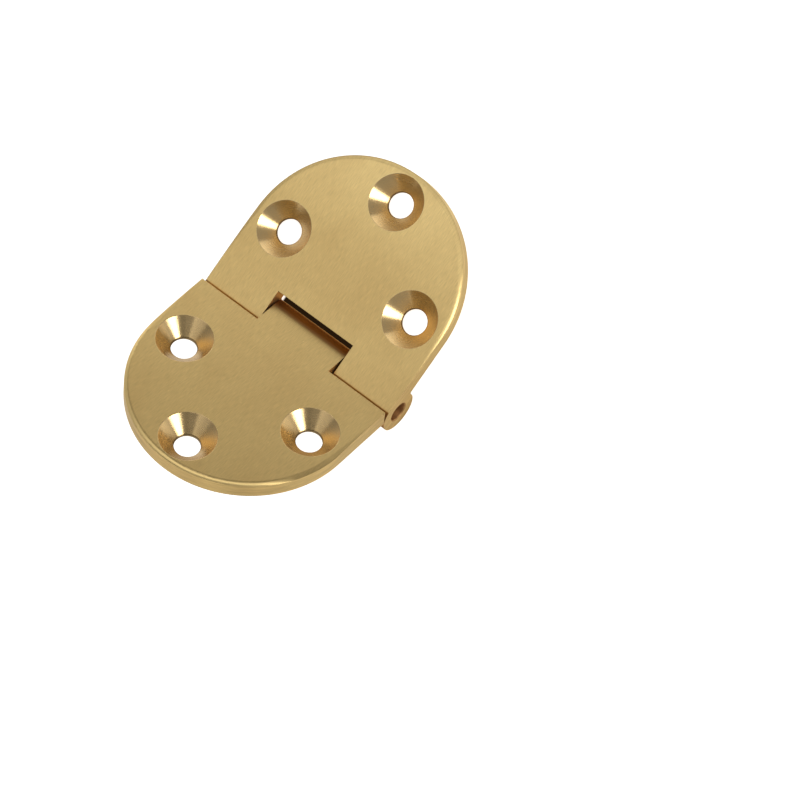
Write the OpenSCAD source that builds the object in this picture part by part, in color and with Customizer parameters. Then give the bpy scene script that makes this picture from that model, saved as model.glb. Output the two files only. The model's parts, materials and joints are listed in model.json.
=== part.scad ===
// Back flap hinge in solid brass, 38 mm wide and 65 mm long when laid flat.
// Two half-round leaves turn on one pin. The fixed leaf carries the two outer knuckles with a
// notch between them, and the moving leaf carries the middle knuckle on a tongue.
// The knuckles stand out below the leaves, so that the countersunk faces stay level.
// Origin: midway between the fixed leaf's screw pair, on the underside that lies on the wood.
// +X runs along the pin, +Y towards the fixed leaf's round end, +Z out of the countersinks.

/* [Leaves] */
// Width across each leaf, which is also the length of the knuckle
leaf_width = 38; // [34:0.5:46]
// Thickness of both leaves
leaf_thick = 2.9; // [2.2:0.1:3.3]
// Radius of the rounding on the upper edge, which runs out along the straight sides
edge_round = 0.9; // [0.8:0.1:1.6]
// Width of that rounding at the round end. Below the radius, it leaves a crease on the side wall
edge_width = 0.75; // [0.3:0.05:0.8]
// Distance from the pin to the screw pair on the fixed leaf, where its round end begins
fixed_reach = 12.9; // [11:0.1:24]
// Distance from the pin to the screw pair on the moving leaf, where its round end begins
moving_reach = 14.4; // [11:0.1:24]

/* [Knuckle] */
// Outside diameter of the knuckle
barrel_d = 6.9; // [6.8:0.1:8]
// Radius in the corner between the knuckle and the leaf's underside
corner_round = 0.4; // [0.2:0.05:0.6]
// How far the leaf's upper face is milled below the top of the knuckle
face_cut = 0.1; // [0.02:0.01:0.2]
// Width of the tongue, which is the length of the middle knuckle
tongue_width = 14.8; // [10:0.1:18]
// Side gap between the tongue and each outer knuckle
side_gap = 0.35; // [0.1:0.05:0.5]
// Gap between the middle knuckle and the floor of the fixed leaf's notch
notch_gap = 0.95; // [0.4:0.05:1.6]
// Gap between the outer knuckles and the moving leaf's shoulders
shoulder_gap = 0.15; // [0.1:0.05:1]

/* [Pin] */
// Diameter of the pin
pin_d = 3.2; // [2.4:0.1:4]
// Radial play of the middle knuckle on the pin
pin_play = 0.05; // [0.02:0.01:0.1]
// How far each pin end sits inside its knuckle
pin_recess = 1; // [0.2:0.1:3]
// Chamfer at each pin end
pin_chamfer = 0.25; // [0.1:0.05:0.5]
// Chamfer at each mouth of the pin's bore
mouth_chamfer = 0.15; // [0.05:0.05:0.5]

/* [Screw holes] */
// Diameter of the screw holes
hole_d = 4.2; // [3.4:0.1:5]
// Diameter of the countersinks at the upper face
head_d = 9.2; // [8:0.1:9.6]
// Full angle of the countersinks
sink_angle = 90; // [88:1:110]
// Distance from each hole of the pair to the leaf's straight side
side_margin = 6; // [5.6:0.1:8]
// Distance from the end hole to the tip of the round end
end_margin = 5.4; // [5.2:0.1:8]

/* [Pose] */
// How far the moving leaf is folded up from flat
fold = 36; // [0:1:90]

/* [Hidden] */
$fn = 96;
leaf_brass = [0.77, 0.65, 0.42];
moving_brass = [0.70, 0.60, 0.38];
pin_brass = [0.48, 0.32, 0.20];
half_width = leaf_width / 2;
barrel_r = barrel_d / 2;
// Height of the upper faces above the pin, and of the undersides
face_height = barrel_r - face_cut;
under_height = face_height - leaf_thick;
pair_x = half_width - side_margin;
tip_hole_y = half_width - end_margin;
notch_width = tongue_width + 2 * side_gap;
notch_floor = barrel_r + notch_gap;
shoulder = barrel_r + shoulder_gap;
sink_depth = (head_d - hole_d) / 2 / tan(sink_angle / 2);
// The rounding of the upper edge ends this far short of a leaf's inner edge
edge_stop = 2;
// Centre of the corner radius, which touches the knuckle and the underside
corner_z = under_height - corner_round;
corner_y = sqrt(pow(barrel_r + corner_round, 2) - pow(corner_z, 2));
// Tools run past the faces that they cut by this much
over = 1;

// Half a section across a leaf from an inner X, with its upper edge rounded. Below the rounding
// it is too wide, and is cut down to the leaf's outline
module edge_section(inner_x) {
    centre_x = half_width - edge_width;
    translate([inner_x, under_height - over]) square([centre_x - inner_x, leaf_thick + over]);
    translate([inner_x, under_height - over])
        square([half_width + over - inner_x, leaf_thick + over - edge_round]);
    translate([centre_x, face_height - edge_round]) circle(edge_round);
}

// Form that rounds a leaf's upper edges, centred on the round end. The rounding leaves that arc
// along a tangent, which meets the straight side at the given distance and so runs out there
module edge_form(run_out) {
    turn = (sqrt(pow(run_out, 2) + leaf_width * edge_width) - run_out) / half_width * 180 / PI;
    rotate([0, 0, turn]) rotate_extrude(angle = 180 - 2 * turn) edge_section(0);
    for (side = [0, 1]) mirror([side, 0, 0]) rotate([0, 0, turn]) rotate([90, 0, 0])
        linear_extrude(run_out + half_width) edge_section(-half_width / 2);
}

// One screw hole with its countersink, opening at the upper face
module screw_hole() {
    translate([0, 0, under_height - over]) cylinder(d = hole_d, h = leaf_thick + 2 * over);
    translate([0, 0, face_height - sink_depth])
        cylinder(d1 = hole_d, d2 = head_d + 2 * over * tan(sink_angle / 2), h = sink_depth + over);
}

// Leaf from its inner edge to the half-round tip, bored for three screws
module leaf_plate(inner, reach) {
    difference() {
        intersection() {
            translate([0, 0, under_height]) linear_extrude(leaf_thick + over) intersection() {
                translate([-half_width, inner]) square([leaf_width, reach - inner + half_width]);
                union() {
                    translate([-half_width, inner]) square([leaf_width, reach - inner]);
                    translate([0, reach]) circle(half_width);
                }
            }
            translate([0, reach, 0]) edge_form(reach - inner - edge_stop);
        }
        for (side = [-1, 1]) translate([side * pair_x, reach, 0]) screw_hole();
        translate([0, reach + tip_hole_y, 0]) screw_hole();
    }
}

// Length of knuckle from one X to another, milled level with the leaf's upper face
module knuckle(x_from, x_to) {
    intersection() {
        translate([x_from, 0, 0]) rotate([0, 90, 0]) cylinder(r = barrel_r, h = x_to - x_from);
        translate([x_from, -barrel_r - over, -barrel_r - over])
            cube([x_to - x_from, 2 * (barrel_r + over), barrel_r + over + face_height]);
    }
}

// Rounded corner under the leaf, along a length of knuckle from one X to another
module corner(x_from, x_to) {
    translate([x_from, 0, 0]) rotate([90, 0, 90]) linear_extrude(x_to - x_from) difference() {
        polygon([[0, 0], [corner_y, corner_z], [corner_y, under_height], [0, under_height]]);
        translate([corner_y, corner_z]) circle(corner_round);
    }
}

// Bore along the whole hinge, with a chamfered mouth at both ends
module pin_bore(play) {
    bore_r = pin_d / 2 + play;
    translate([-half_width - over, 0, 0]) rotate([0, 90, 0])
        cylinder(r = bore_r, h = leaf_width + 2 * over);
    for (side = [0, 1]) mirror([side, 0, 0])
        translate([half_width - mouth_chamfer, 0, 0]) rotate([0, 90, 0])
            cylinder(r1 = bore_r, r2 = bore_r + mouth_chamfer + over, h = mouth_chamfer + over);
}

// From the pin's axis to the part's own frame
module from_pin() {
    translate([0, -fixed_reach, -under_height]) children();
}

// Leaf with the two outer knuckles, and a notch for the tongue between them
module fixed_leaf() {
    color(leaf_brass) from_pin() difference() {
        union() {
            leaf_plate(0, fixed_reach);
            knuckle(-half_width, half_width);
            corner(-half_width, half_width);
        }
        translate([-notch_width / 2, -barrel_r - over, -barrel_r - over])
            cube([notch_width, barrel_r + over + notch_floor, barrel_r + face_height + 2 * over]);
        pin_bore(0);
    }
}

// Leaf with the tongue and the middle knuckle, folded up about the pin
module moving_leaf() {
    color(moving_brass) from_pin() rotate([-fold, 0, 0]) mirror([0, 1, 0]) difference() {
        union() {
            leaf_plate(shoulder, moving_reach);
            translate([-tongue_width / 2, 0, under_height])
                cube([tongue_width, shoulder + over, leaf_thick]);
            knuckle(-tongue_width / 2, tongue_width / 2);
            corner(-tongue_width / 2, tongue_width / 2);
        }
        pin_bore(pin_play);
    }
}

// Pin held in the outer knuckles, short of their ends
module hinge_pin() {
    pin_length = leaf_width - 2 * pin_recess;
    color(pin_brass) from_pin() translate([-pin_length / 2, 0, 0]) rotate([0, 90, 0]) {
        cylinder(d1 = pin_d - 2 * pin_chamfer, d2 = pin_d, h = pin_chamfer);
        translate([0, 0, pin_chamfer]) cylinder(d = pin_d, h = pin_length - 2 * pin_chamfer);
        translate([0, 0, pin_length - pin_chamfer])
            cylinder(d1 = pin_d, d2 = pin_d - 2 * pin_chamfer, h = pin_chamfer);
    }
}

fixed_leaf();
moving_leaf();
hinge_pin();
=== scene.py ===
# Back flap hinge in solid brass: its finishes, its studio and its camera.
import json
import math

import bmesh
import bpy
from bpy.props import FloatProperty, FloatVectorProperty, PointerProperty
from mathutils import Matrix, Vector


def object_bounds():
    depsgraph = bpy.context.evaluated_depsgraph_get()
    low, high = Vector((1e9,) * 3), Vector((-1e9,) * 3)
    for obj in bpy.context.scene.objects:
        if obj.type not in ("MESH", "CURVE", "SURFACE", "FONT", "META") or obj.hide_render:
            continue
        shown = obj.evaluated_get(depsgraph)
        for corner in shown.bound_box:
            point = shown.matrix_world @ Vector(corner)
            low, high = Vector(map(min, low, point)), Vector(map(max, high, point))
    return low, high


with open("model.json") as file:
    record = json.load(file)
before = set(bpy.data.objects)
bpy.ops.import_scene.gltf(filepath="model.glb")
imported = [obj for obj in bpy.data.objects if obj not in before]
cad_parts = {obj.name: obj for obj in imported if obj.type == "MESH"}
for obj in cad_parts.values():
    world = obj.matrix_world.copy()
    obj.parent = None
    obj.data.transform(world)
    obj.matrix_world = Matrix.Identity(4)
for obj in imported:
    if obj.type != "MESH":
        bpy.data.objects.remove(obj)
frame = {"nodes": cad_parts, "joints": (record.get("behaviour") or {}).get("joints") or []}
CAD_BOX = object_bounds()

bl_info = {
    "name": "Back flap hinge",
    "version": (1, 0, 0),
    "blender": (4, 5, 0),
    "location": "3D View > Sidebar > Hinge",
    "description": "Brushed and turned brass for a back flap hinge, with its studio",
    "category": "Object",
}

MM = 0.001

# The hinge's own sizes, in millimetres, as they are in the part's source
PIN_AXIS = Vector(frame["joints"][0]["pos_m"])
FOLD = math.radians(36)
FIXED_REACH = 12.9
MOVING_REACH = 14.4
PAIR_X = 13.0
TIP_HOLE_Y = 13.6
HEAD_R = 4.6
HOLE_R = 2.1
BORE_R = 1.6


def linear(hex_colour):
    """A colour written as sRGB hex, as the linear red, green, blue and alpha of a socket."""
    parts = [int(hex_colour[i : i + 2], 16) / 255 for i in (1, 3, 5)]
    return [p / 12.92 if p <= 0.04045 else ((p + 0.055) / 1.055) ** 2.4 for p in parts] + [1.0]


def add(tree, kind, inputs=(), **settings):
    """Adds one node. inputs gives its sockets, by number or by name, a value or a node or socket to link."""
    made = tree.nodes.new("ShaderNode" + kind)
    for name, value in settings.items():
        setattr(made, name, value)
    for socket, value in inputs.items() if isinstance(inputs, dict) else enumerate(inputs):
        if isinstance(value, bpy.types.Node):
            value = value.outputs[0]
        if isinstance(value, bpy.types.NodeSocket):
            tree.links.new(value, made.inputs[socket])
        elif value is not None:
            made.inputs[socket].default_value = value
    return made


def new_material(name):
    """An empty material with nodes, and its tree."""
    material = bpy.data.materials.new(name)
    material.use_nodes = True
    material.node_tree.nodes.clear()
    return material, material.node_tree


def dress(node_name, material):
    """Gives a node of the frame its material, and leaves its shape alone."""
    piece = frame["nodes"][node_name]
    if not piece.material_slots:
        raise RuntimeError(f"{node_name} has no material slot")
    for place in piece.material_slots:
        place.material = material


class HingeFinish(bpy.types.PropertyGroup):
    """Colours and surface of the brass."""

    fixed_colour: FloatVectorProperty(
        name="Fixed leaf", description="Brushed face of the fixed leaf, beside the knuckle",
        subtype="COLOR", size=4, min=0, max=1, default=linear("#EACA87"),
    )
    fixed_tip_colour: FloatVectorProperty(
        name="Fixed leaf's tip", description="Brushed face of the fixed leaf at its round end",
        subtype="COLOR", size=4, min=0, max=1, default=linear("#FFE09A"),
    )
    moving_colour: FloatVectorProperty(
        name="Moving leaf", description="Brushed face of the moving leaf, beside the knuckle",
        subtype="COLOR", size=4, min=0, max=1, default=linear("#E2C382"),
    )
    moving_tip_colour: FloatVectorProperty(
        name="Moving leaf's tip", description="Brushed face of the moving leaf at its round end",
        subtype="COLOR", size=4, min=0, max=1, default=linear("#DABB7B"),
    )
    # Painted highlight: the lighter brass painted where the round ends' edges and the dents catch the light
    painted_highlight_colour: FloatVectorProperty(
        name="Burnished brass", description="Colour where handling has rubbed the round ends' edges",
        subtype="COLOR", size=4, min=0, max=1, default=linear("#FFDF98"),
    )
    turned_colour: FloatVectorProperty(
        name="Turned brass", description="Colour of the countersinks, the holes and the knuckle",
        subtype="COLOR", size=4, min=0, max=1, default=linear("#E8C88F"),
    )
    dull_colour: FloatVectorProperty(
        name="Dulled brass", description="Colour of the brass where it has begun to dull",
        subtype="COLOR", size=4, min=0, max=1, default=linear("#B78F55"),
    )
    grain_width: FloatProperty(
        name="Grain width", description="Spacing of the brushed lines",
        unit="LENGTH", min=0.00005, max=0.002, precision=5, default=0.12 * MM,
    )
    grain_length: FloatProperty(
        name="Grain length", description="Length of the brushed lines",
        unit="LENGTH", min=0.0005, max=0.03, precision=4, default=1.5 * MM,
    )
    edge_softness: FloatProperty(
        name="Broken edges", description="Radius that light finds on the sharp edges",
        unit="LENGTH", min=0.00001, max=0.0005, precision=5, default=0.11 * MM,
    )
    face_roughness: FloatProperty(
        name="Face roughness", description="Roughness of the brushed faces",
        subtype="FACTOR", min=0.05, max=1, default=0.42,
    )
    turned_roughness: FloatProperty(
        name="Turned roughness", description="Roughness of the turned countersinks",
        subtype="FACTOR", min=0.05, max=1, default=0.26,
    )


class HingeStudio(bpy.types.PropertyGroup):
    """Floor, lamps and camera."""

    floor_size: FloatProperty(
        name="Floor", description="Width of the floor", unit="LENGTH", min=0.5, max=20, default=6,
    )
    floor_colour: FloatVectorProperty(
        name="Floor colour", description="Colour of the floor's paper",
        subtype="COLOR", size=4, min=0, max=1, default=linear("#F2F1EE"),
    )
    wall_level: FloatProperty(
        name="Walls", description="Brightness of the room's walls at eye level, where 1 is white",
        subtype="FACTOR", min=0, max=1, default=0.46,
    )
    ceiling_level: FloatProperty(
        name="Ceiling", description="Brightness of the room's ceiling, where 1 is white",
        subtype="FACTOR", min=0, max=1, default=0.11,
    )
    lens: FloatProperty(
        name="Lens", description="Focal length of the camera in millimetres",
        subtype="DISTANCE_CAMERA", min=20, max=400, default=163.43,
    )


def brushed_brass(name, finish, leaf):
    """Solid brass, brushed on the faces and along the outline, and turned in the holes.
    The brushing draws every light out across its lines, so the faces gleam softly from side to
    side. The turned cones mirror the room in wedges that point at their holes. leaf gives the
    leaf's reach, fold and flip, its two face colours and where they blend, the middle and radius
    of the painted highlight on its edge, how many dents get a painted glint on its face, and where
    the painted shade on its knuckle begins."""
    reach, fold, flip, colours, blend, edge_highlight_spot, glint_share, joint = leaf
    material, tree = new_material(name)
    coords = add(tree, "TexCoord")

    # The leaf's own millimetres: X along the pin, Y outwards from the pin, Z up from its axis
    place = add(tree, "Mapping", (coords.outputs["Object"], PIN_AXIS, (fold, 0, 0), (MM, flip * MM, MM)),
                vector_type="TEXTURE")
    facing = add(tree, "Mapping", (coords.outputs["Normal"], (0, 0, 0), (fold, 0, 0), (1, flip, 1)),
                 vector_type="TEXTURE")
    x, y, z = add(tree, "SeparateXYZ", (place,)).outputs
    facing_x, facing_y, facing_z = add(tree, "SeparateXYZ", (facing,)).outputs

    # Distance and direction from the axis of the nearest screw hole
    side = add(tree, "Math", (x,), operation="SIGN")
    pair_x = add(tree, "Math", (side, PAIR_X), operation="MULTIPLY")
    from_pair = add(tree, "VectorMath", (
        add(tree, "CombineXYZ", (x, y)), add(tree, "CombineXYZ", (pair_x, reach))), operation="SUBTRACT")
    from_tip = add(tree, "VectorMath", (
        add(tree, "CombineXYZ", (x, y)), (0, reach + TIP_HOLE_Y, 0)), operation="SUBTRACT")
    pair_r = add(tree, "VectorMath", (from_pair,), operation="LENGTH").outputs["Value"]
    tip_r = add(tree, "VectorMath", (from_tip,), operation="LENGTH").outputs["Value"]
    hole_r = add(tree, "Math", (pair_r, tip_r), operation="MINIMUM")
    nearer_tip = add(tree, "Math", (tip_r, pair_r), operation="LESS_THAN")
    from_hole = add(tree, "Mix", {0: nearer_tip, 4: from_pair, 5: from_tip}, data_type="VECTOR")
    around = add(tree, "VectorMath", (from_hole.outputs[1],), operation="NORMALIZE")

    # Where each tool has been: 1 in the cones and holes, and 1 on walls and the knuckle's round
    in_hole = add(tree, "Math", (hole_r, HEAD_R + 0.03), operation="LESS_THAN")
    not_under = add(tree, "Math", (facing_z, -0.5), operation="GREATER_THAN")
    turned = add(tree, "Math", (in_hole, not_under), operation="MULTIPLY")
    not_turned = add(tree, "Math", (1.0, turned), operation="SUBTRACT")
    steepness = add(tree, "Math", (facing_z,), operation="ABSOLUTE")
    wall = add(tree, "Math", (steepness, 0.5), operation="LESS_THAN")

    # Grain: lines along the leaf on the faces, along the outline on the walls, round the holes
    width = finish.grain_width / MM
    length = finish.grain_length / MM
    face_grain = add(tree, "VectorMath", (place, (1 / width, 1 / length, 0)), operation="MULTIPLY")
    wall_grain = add(tree, "VectorMath", (place, (1 / length, 1 / length, 1 / width)), operation="MULTIPLY")
    ring = add(tree, "VectorMath", (around, (1.5, 1.5, 0)), operation="MULTIPLY")
    ring_step = add(tree, "Math", (hole_r, 0.8 / width), operation="MULTIPLY")
    ring_grain = add(tree, "VectorMath", (ring, add(tree, "CombineXYZ", (0, 0, ring_step))), operation="ADD")
    flat_grain = add(tree, "Mix", {0: wall, 4: face_grain, 5: wall_grain}, data_type="VECTOR")
    grain_at = add(tree, "Mix", {0: turned, 4: flat_grain.outputs[1], 5: ring_grain}, data_type="VECTOR")
    fine = add(tree, "TexNoise", {"Vector": grain_at.outputs[1], "Scale": 1.0, "Detail": 2.0, "Roughness": 0.6})
    broad_at = add(tree, "VectorMath", (grain_at.outputs[1], (0.23, 0.31, 0.23)), operation="MULTIPLY")
    broad = add(tree, "TexNoise", {"Vector": broad_at, "Scale": 1.0, "Detail": 3.0, "Roughness": 0.5})
    # Clouds of dulling, some 12 mm across
    clouds = add(tree, "TexNoise", {"Vector": place, "Scale": 1 / 12, "Detail": 3.0, "Roughness": 0.55})
    # Dents some 0.2 mm across, in cells of 0.8 mm, more of them towards the round end, each with a painted glint
    outwards = add(tree, "MapRange", (y, blend[0], blend[1], 0.0, 1.0), interpolation_type="SMOOTHSTEP")
    cells = add(tree, "TexVoronoi", {"Vector": place, "Scale": 1 / 0.8})
    dent_and_glint = add(tree, "MapRange", (cells.outputs["Distance"], 0.04, 0.16, 0.55, 0.0))
    chance = add(tree, "SeparateXYZ", (cells.outputs["Color"],)).outputs[0]
    few = add(tree, "MapRange", (outwards, 0.0, 1.0, 0.05 * glint_share, 0.5 * glint_share))
    chosen = add(tree, "Math", (chance, few), operation="LESS_THAN")
    dent_and_glint = add(tree, "Math", (dent_and_glint, add(tree, "Math", (chosen, not_turned), operation="MULTIPLY")), operation="MULTIPLY")

    grain = add(tree, "MapRange", (fine, 0.3, 0.7, 0.84, 1.04))
    # The walls are brushed more coarsely, in streaks some 0.5 mm wide
    coarse = add(tree, "Mix", {0: wall, 2: 1.0, 3: add(tree, "MapRange", (broad, 0.3, 0.7, 0.84, 1.14))})
    grain = add(tree, "Math", (grain, coarse), operation="MULTIPLY")
    # Each leaf is made a little darker towards +X, by a fortieth every 10 mm
    darker_towards_x = add(tree, "MapRange", (x, -20, 20, 1.05, 0.95))
    grain = add(tree, "Math", (grain, darker_towards_x), operation="MULTIPLY")
    colour = add(tree, "Mix", {0: outwards, 6: colours[0], 7: colours[1]}, data_type="RGBA")
    colour = add(tree, "VectorMath", {0: colour.outputs[2], 3: grain}, operation="SCALE")
    dulling = add(tree, "MapRange", (clouds, 0.45, 0.75, 0.0, 0.2))
    colour = add(tree, "Mix", {0: dulling, 6: colour, 7: finish.dull_colour}, data_type="RGBA")
    # Painted highlight: lighter brass over the rounded edge, around a given middle, with a ragged border
    from_highlight_spot = add(tree, "VectorMath", (place, (*edge_highlight_spot[:2], 0)), operation="SUBTRACT")
    flat_highlight_spot = add(tree, "VectorMath", (from_highlight_spot, (1, 1, 0)), operation="MULTIPLY")
    highlight_spot_r = add(tree, "VectorMath", (flat_highlight_spot,), operation="LENGTH").outputs["Value"]
    near_highlight_spot = add(tree, "MapRange", (highlight_spot_r, edge_highlight_spot[2] - 4, edge_highlight_spot[2], 1.0, 0.0))
    ragged = add(tree, "Math", (add(tree, "Math", (broad, 0.06), operation="MULTIPLY"), facing_z), operation="SUBTRACT")
    rim = add(tree, "MapRange", (ragged, -0.95, -0.90, 0.0, 1.0))
    upper = add(tree, "Math", (facing_z, 0.5), operation="GREATER_THAN")
    rim = add(tree, "Math", (rim, upper), operation="MULTIPLY")
    rim = add(tree, "Math", (rim, not_turned), operation="MULTIPLY")
    painted_edge_highlight = add(tree, "Math", (rim, near_highlight_spot), operation="MULTIPLY")
    colour = add(tree, "Mix", {0: painted_edge_highlight, 6: colour.outputs[2], 7: finish.painted_highlight_colour}, data_type="RGBA")
    # Painted glints: the dents are lightened to the highlight colour
    colour = add(tree, "Mix", {0: dent_and_glint, 6: colour.outputs[2], 7: finish.painted_highlight_colour}, data_type="RGBA")
    colour = add(tree, "Mix", {0: turned, 6: colour.outputs[2], 7: finish.turned_colour}, data_type="RGBA")
    # Painted shade: the short wall of each hole is darkened
    painted_hole_shade = add(tree, "MapRange", (hole_r, HOLE_R + 0.06, HOLE_R + 0.14, 0.75, 0.0))
    painted_hole_shade = add(tree, "Math", (painted_hole_shade, not_under), operation="MULTIPLY")
    colour = add(tree, "Mix", {0: painted_hole_shade, 6: colour.outputs[2], 7: linear("#3E2C14")}, data_type="RGBA")
    # Painted shade: the joint's cheeks and the quarter of the knuckle that turns inside it are darkened to brown
    inside = add(tree, "MapRange", (y, joint[0], joint[1], 0.0, 1.0))
    above = add(tree, "MapRange", (z, 0.0, 1.0, 0.0, 1.0))
    sideways = add(tree, "Math", (add(tree, "Math", (facing_x,), operation="ABSOLUTE"), 0.5), operation="GREATER_THAN")
    cheek = add(tree, "Math", (add(tree, "Math", (x,), operation="ABSOLUTE"), 8.0), operation="LESS_THAN")
    cheek = add(tree, "Math", (cheek, not_turned), operation="MULTIPLY")
    painted_recess_shade = add(tree, "Math", (inside, above), operation="MULTIPLY")
    painted_recess_shade = add(tree, "Mix", {0: sideways, 2: painted_recess_shade, 3: cheek})
    # Painted shade: the pin's bore is darkened to brown, and it is dull
    bore_r = add(tree, "VectorMath", (add(tree, "CombineXYZ", (y, z)),), operation="LENGTH").outputs["Value"]
    bore = add(tree, "Math", (bore_r, BORE_R + 0.2), operation="LESS_THAN")
    painted_recess_shade = add(tree, "Math", (painted_recess_shade, bore), operation="MAXIMUM")
    colour = add(tree, "Mix", {0: painted_recess_shade, 6: colour.outputs[2], 7: linear("#BE9462")}, data_type="RGBA")

    streaks = add(tree, "MapRange", (broad, 0.3, 0.7, -0.02, 0.02))
    rough = add(tree, "Mix", {0: turned, 2: finish.face_roughness, 3: finish.turned_roughness})
    rough = add(tree, "Math", (rough, streaks), operation="ADD")
    rough = add(tree, "Mix", {0: bore, 2: rough, 3: 0.6})

    # Every line's crest leans the light across the lines
    across = add(tree, "Mix", {0: wall, 4: (1, 0, 0), 5: (0, 0, 1)}, data_type="VECTOR")
    across = add(tree, "Mix", {0: turned, 4: across.outputs[1], 5: around}, data_type="VECTOR")
    across = add(tree, "Mapping", (across.outputs[1], (0, 0, 0), (fold, 0, 0), (1, flip, 1)), vector_type="VECTOR")
    across = add(tree, "VectorTransform", (across,), vector_type="VECTOR", convert_from="OBJECT", convert_to="WORLD")

    # The brush rode over the rounded edge too, so it shines nearly as the face does
    broken = add(tree, "Bevel", (finish.edge_softness,), samples=6)
    upright = add(tree, "Mapping", ((0, 0, 1), (0, 0, 0), (fold, 0, 0), (1, flip, 1)), vector_type="VECTOR")
    upright = add(tree, "VectorTransform", (upright,), vector_type="NORMAL", convert_from="OBJECT", convert_to="WORLD")
    # Where the highlight is painted, the rounded edge keeps its own normal
    ridden = add(tree, "Math", (add(tree, "Math", (rim, painted_edge_highlight), operation="SUBTRACT"), 0.7), operation="MULTIPLY")
    normal = add(tree, "Mix", {0: ridden, 4: broken, 5: upright}, data_type="VECTOR")
    normal = add(tree, "VectorMath", (normal.outputs[1],), operation="NORMALIZE")
    # The lines are a few thousandths of a millimetre deep, and shallower in the cones
    height = add(tree, "Math", (fine, add(tree, "Math", (broad, 0.8), operation="MULTIPLY")), operation="ADD")
    height = add(tree, "Math", (height, add(tree, "MapRange", (turned, 0, 1, 1.0, 0.15))), operation="MULTIPLY")
    height = add(tree, "Math", (height, add(tree, "Math", (dent_and_glint, -1.5), operation="MULTIPLY")), operation="ADD")
    bump = add(tree, "Bump", {"Strength": 0.5, "Distance": 0.004 * MM, "Height": height, "Normal": normal})

    shader = add(tree, "BsdfPrincipled", {
        "Base Color": colour.outputs[2], "Metallic": 1.0, "Roughness": rough,
        "Anisotropic": 0.6, "Normal": bump, "Tangent": across})
    add(tree, "OutputMaterial", (shader,))
    return material


def drawn_brass(name, finish):
    """Drawn brass rod for the pin, cut off square: dull, with the saw's rings on its ends, and painted a dark brown as
    shade for its ends sunk in the bore.
    """
    material, tree = new_material(name)
    coords = add(tree, "TexCoord")
    place = add(tree, "Mapping", (coords.outputs["Object"], PIN_AXIS, (0, 0, 0), (MM, MM, MM)),
                vector_type="TEXTURE")
    x, y, z = add(tree, "SeparateXYZ", (place,)).outputs
    radius = add(tree, "VectorMath", (add(tree, "CombineXYZ", (y, z)),), operation="LENGTH").outputs["Value"]
    rings = add(tree, "CombineXYZ", (add(tree, "Math", (radius, 6.0), operation="MULTIPLY"),
                                     add(tree, "Math", (x, 8.0), operation="MULTIPLY")))
    marks = add(tree, "TexNoise", {"Vector": rings, "Scale": 1.0, "Detail": 3.0, "Roughness": 0.6})
    shade = add(tree, "MapRange", (marks, 0.3, 0.7, 0.0, 1.0))
    # Painted shade: browns much darker than the leaves' brass, for the pin's ends sunk in the bore
    colour = add(tree, "Mix", {0: shade, 6: linear("#7C4A22"), 7: linear("#A8703A")}, data_type="RGBA")
    bump = add(tree, "Bump", {"Strength": 0.6, "Distance": 0.01 * MM, "Height": marks})
    shader = add(tree, "BsdfPrincipled", {
        "Base Color": colour.outputs[2], "Metallic": 1.0, "Roughness": 0.45, "Normal": bump})
    add(tree, "OutputMaterial", (shader,))
    return material


def floor_paper(name, studio):
    """Matt white paper. It shows white to the camera, with a painted shadow beneath the joint and a painted spark at
    the gap's end, and keeps the shadow. The metal sees it with painted shade, darker and warmer near the hinge.
    """
    material, tree = new_material(name)
    ray = add(tree, "LightPath")
    # Painted shade for the metal: it sees pale paper, darker in the hinge's own shade and warmed as though lit by the
    # brass
    shade = add(tree, "AmbientOcclusion", {"Distance": 40 * MM}, samples=8).outputs["AO"]
    mirrored = add(tree, "Math", (ray.outputs["Is Glossy Ray"], ray.outputs["Is Transmission Ray"]), operation="MAXIMUM")
    lit = add(tree, "MapRange", (shade, 0.45, 0.85, 0.0, 1.0))
    near = add(tree, "MapRange", (shade, 0.05, 0.25, 1.0, 0.0))
    mirrored_paper_shade = add(tree, "Mix", {0: near, 6: linear("#A08558"), 7: linear("#E8C488")}, data_type="RGBA")
    mirrored_paper_shade = add(tree, "Mix", {0: lit, 6: mirrored_paper_shade.outputs[2], 7: linear("#F0EEEA")}, data_type="RGBA")
    # The camera sees white paper, but beneath the joint a painted shadow, a dark strip, with a painted spark of white
    # at the gap's end
    x, y, z = add(tree, "SeparateXYZ", (add(tree, "TexCoord").outputs["Object"],)).outputs
    before = add(tree, "MapRange", (x, -9.1 * MM, -8.8 * MM, 1, 0))
    past = add(tree, "MapRange", (x, 12 * MM, 14 * MM, 0, 1))
    from_gap = add(tree, "Math", (y, PIN_AXIS.y + 2.6 * MM), operation="SUBTRACT")
    from_gap = add(tree, "Math", (from_gap,), operation="ABSOLUTE")
    beside = add(tree, "MapRange", (from_gap, 2.6 * MM, 3.2 * MM, 0, 1))
    clear_of_painted_shadow = add(tree, "Math", (add(tree, "Math", (before, past), operation="MAXIMUM"), beside), operation="MAXIMUM")
    paper_with_painted_shadow = add(tree, "Mix", {0: clear_of_painted_shadow, 6: linear("#1E1812"), 7: studio.floor_colour}, data_type="RGBA")
    glow_with_painted_shadow = add(tree, "Mix", {0: clear_of_painted_shadow, 6: linear("#1E140A"), 7: linear("#F1F1F1")}, data_type="RGBA")
    paper = add(tree, "AddShader", (
        add(tree, "BsdfDiffuse", (paper_with_painted_shadow.outputs[2],)),
        add(tree, "Emission", (glow_with_painted_shadow.outputs[2], ray.outputs["Is Camera Ray"]))))
    both = add(tree, "MixShader", (mirrored, paper, add(tree, "Emission", (mirrored_paper_shade.outputs[2], 1.0))))
    # From below, the floor isn't there
    below = add(tree, "NewGeometry").outputs["Backfacing"]
    clear = add(tree, "BsdfTransparent")
    add(tree, "OutputMaterial", (add(tree, "MixShader", (below, both, clear)),))
    return material


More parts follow.
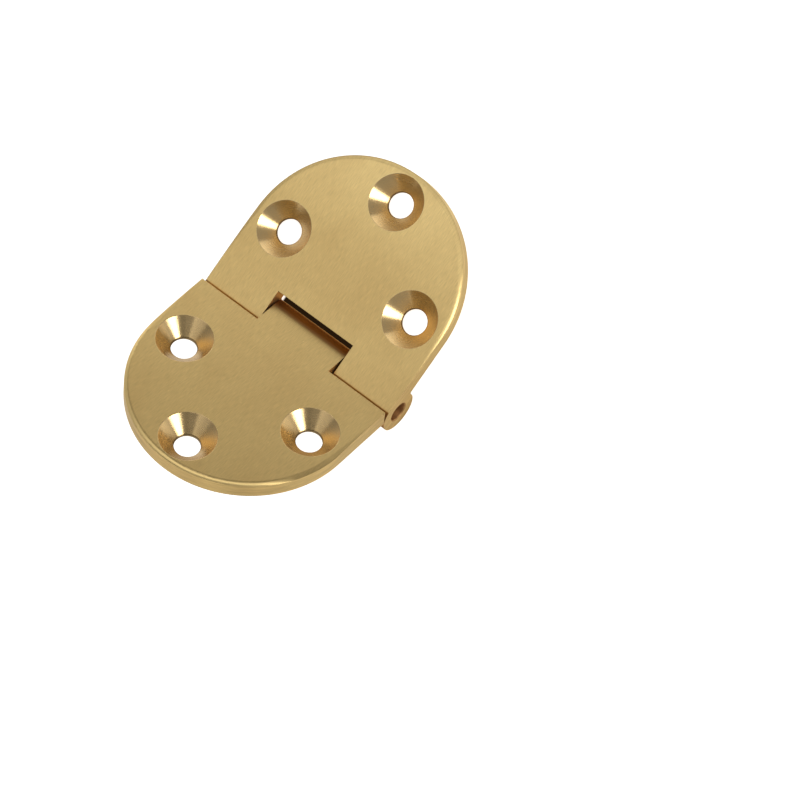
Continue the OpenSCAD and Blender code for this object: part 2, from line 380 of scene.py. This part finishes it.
class HINGE_OT_fixed_leaf(bpy.types.Operator):
    """Gives the fixed leaf its brushed and turned brass"""

    bl_idname = "hinge.fixed_leaf"
    bl_label = "Fixed leaf"

    def execute(self, context):
        finish = context.scene.hinge_finish
        colours = finish.fixed_colour, finish.fixed_tip_colour
        leaf = FIXED_REACH, 0, 1, colours, (13, 31), (19, 10, 16), 1.0, (-0.72, -0.86)
        dress("fixed_leaf", brushed_brass("brushed_brass_fixed_leaf", finish, leaf))
        return {"FINISHED"}


class HINGE_OT_moving_leaf(bpy.types.Operator):
    """Gives the moving leaf its brushed and turned brass"""

    bl_idname = "hinge.moving_leaf"
    bl_label = "Moving leaf"

    def execute(self, context):
        finish = context.scene.hinge_finish
        colours = finish.moving_colour, finish.moving_tip_colour
        leaf = MOVING_REACH, -FOLD, -1, colours, (4, 33), (-3, 30, 22), 0.15, (-0.1, -0.5)
        dress("moving_leaf", brushed_brass("brushed_brass_moving_leaf", finish, leaf))
        return {"FINISHED"}


class HINGE_OT_hinge_pin(bpy.types.Operator):
    """Gives the pin its drawn brass"""

    bl_idname = "hinge.hinge_pin"
    bl_label = "Pin"

    def execute(self, context):
        dress("hinge_pin", drawn_brass("drawn_brass_pin", context.scene.hinge_finish))
        return {"FINISHED"}


def softbox(name, azimuth, elevation, distance, spread, brightness):
    """A square lamp that faces the hinge, at angles in degrees from X and from the floor.
    spread is its width and height in degrees, and brightness is what a mirror would show, where 1 is white."""
    data = bpy.data.lights.new(name, "AREA")
    data.shape = "RECTANGLE"
    data.size, data.size_y = (2 * distance * math.tan(math.radians(angle / 2)) for angle in spread)
    data.energy = brightness * math.pi * data.size * data.size_y
    lamp = bpy.data.objects.new(name, data)
    bpy.context.scene.collection.objects.link(lamp)
    around, rise = math.radians(azimuth), math.radians(elevation)
    away = Vector((math.cos(around) * math.cos(rise), math.sin(around) * math.cos(rise), math.sin(rise)))
    lamp.location = away * distance
    lamp.rotation_euler = away.to_track_quat("Z", "Y").to_euler()
    return lamp


class HINGE_OT_studio(bpy.types.Operator):
    """Sets up the floor, the softboxes, the room and the camera"""

    bl_idname = "hinge.studio"
    bl_label = "Studio"

    def execute(self, context):
        scene = context.scene
        studio = scene.hinge_studio

        # The floor lies just under the knuckle
        mesh = bpy.data.meshes.new("floor")
        form = bmesh.new()
        bmesh.ops.create_grid(form, x_segments=1, y_segments=1, size=studio.floor_size / 2)
        bmesh.ops.translate(form, verts=form.verts, vec=(0, 0, CAD_BOX[0].z - 0.05 * MM))
        form.to_mesh(mesh)
        form.free()
        floor = bpy.data.objects.new("floor", mesh)
        mesh.materials.append(floor_paper("white_paper_floor", studio))
        scene.collection.objects.link(floor)

        softbox("softbox_side", 17, 25, 0.9, (26, 27), 5.5)
        softbox("softbox_above", 171, 78, 0.9, (46, 42), 0.88)
        softbox("softbox_back", 120, 7, 0.9, (80, 24), 1.0)
        softbox("softbox_camera", 18, 75, 0.9, (18, 16), 1.0)
        softbox("softbox_front", -95, 8, 0.9, (60, 24), 0.8)

        world = bpy.data.worlds.new("studio_room")
        scene.world = world
        world.use_nodes = True
        tree = world.node_tree
        tree.nodes.clear()
        ray = add(tree, "LightPath")
        # Pale walls and a darker ceiling, which only the metal and the floor see
        height = add(tree, "SeparateXYZ", (add(tree, "TexCoord").outputs["Generated"],)).outputs[2]
        level = add(tree, "MapRange", (height, 0, 1, studio.wall_level, studio.ceiling_level))
        room = add(tree, "Background", ((1, 1, 1, 1), level))
        white = add(tree, "Background", ((1, 1, 1, 1), 1.0))
        add(tree, "OutputWorld", (add(tree, "MixShader", (ray.outputs["Is Camera Ray"], room, white)),))

        data = bpy.data.cameras.new("camera")
        data.lens = studio.lens
        data.sensor_width = 36
        data.clip_start, data.clip_end = 0.01, 20
        camera = bpy.data.objects.new("camera", data)
        right = Vector((0.761454, 0.571525, -0.305855))
        up = Vector((-0.557709, 0.818102, 0.140249))
        back = Vector((0.330376, 0.063785, 0.941691))
        turn = Matrix((right, up, back)).transposed().to_4x4()
        camera.matrix_world = Matrix.Translation((0.204982, 0.024861, 0.532273)) @ turn
        scene.collection.objects.link(camera)
        scene.camera = camera
        scene.view_settings.view_transform = "Standard"
        return {"FINISHED"}


class HINGE_PT_panel(bpy.types.Panel):
    """Lists the hinge's finishes and its studio"""

    bl_idname = "HINGE_PT_panel"
    bl_label = "Back flap hinge"
    bl_space_type = "VIEW_3D"
    bl_region_type = "UI"
    bl_category = "Hinge"

    def draw(self, context):
        layout = self.layout
        for group in (context.scene.hinge_finish, context.scene.hinge_studio):
            for key in group.__annotations__:
                layout.prop(group, key)
        for operator in OPERATORS:
            layout.operator(operator.bl_idname)


OPERATORS = (HINGE_OT_fixed_leaf, HINGE_OT_moving_leaf, HINGE_OT_hinge_pin, HINGE_OT_studio)
CLASSES = (HingeFinish, HingeStudio, *OPERATORS, HINGE_PT_panel)


def register():
    for kind in CLASSES:
        bpy.utils.register_class(kind)
    bpy.types.Scene.hinge_finish = PointerProperty(type=HingeFinish)
    bpy.types.Scene.hinge_studio = PointerProperty(type=HingeStudio)


def unregister():
    del bpy.types.Scene.hinge_studio
    del bpy.types.Scene.hinge_finish
    for kind in reversed(CLASSES):
        bpy.utils.unregister_class(kind)


def main():
    register()
    bpy.ops.hinge.fixed_leaf()
    bpy.ops.hinge.moving_leaf()
    bpy.ops.hinge.hinge_pin()
    bpy.ops.hinge.studio()


if __name__ == "__main__":
    main()
